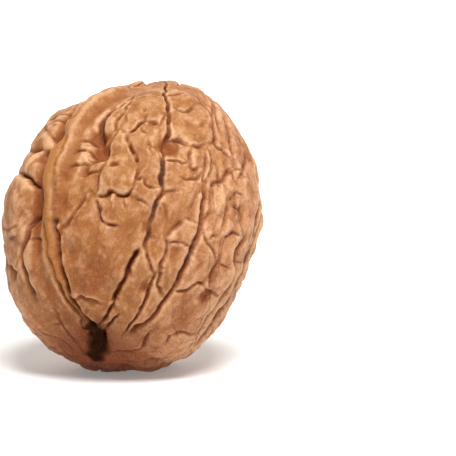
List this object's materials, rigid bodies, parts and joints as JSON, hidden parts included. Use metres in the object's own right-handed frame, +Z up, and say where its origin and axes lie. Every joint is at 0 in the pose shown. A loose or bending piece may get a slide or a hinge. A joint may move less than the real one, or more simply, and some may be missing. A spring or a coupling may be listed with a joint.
{
  "type": "walnut",
  "caption": "Whole walnut in its shell, leaning on a small flat spot: egg-shaped, with a raised suture band, long furrows, crossing cracks and a sunken base scar.",
  "frame": {"origin": "on the flat spot that the nut rests on, straight below the middle of the nut", "axes": "+Z up from the resting surface; the view of the picture looks along +Y with +X to the right; the nut's own axis leans 35 degrees from +Z towards +Y"},
  "size_m": [0.0356, 0.0373, 0.0398],
  "materials": {
    "shell": "dry matt nutshell, tan with darker furrows"
  },
  "bodies": {
    "root": {"walnut": "shell"}
  },
  "joints": []
}
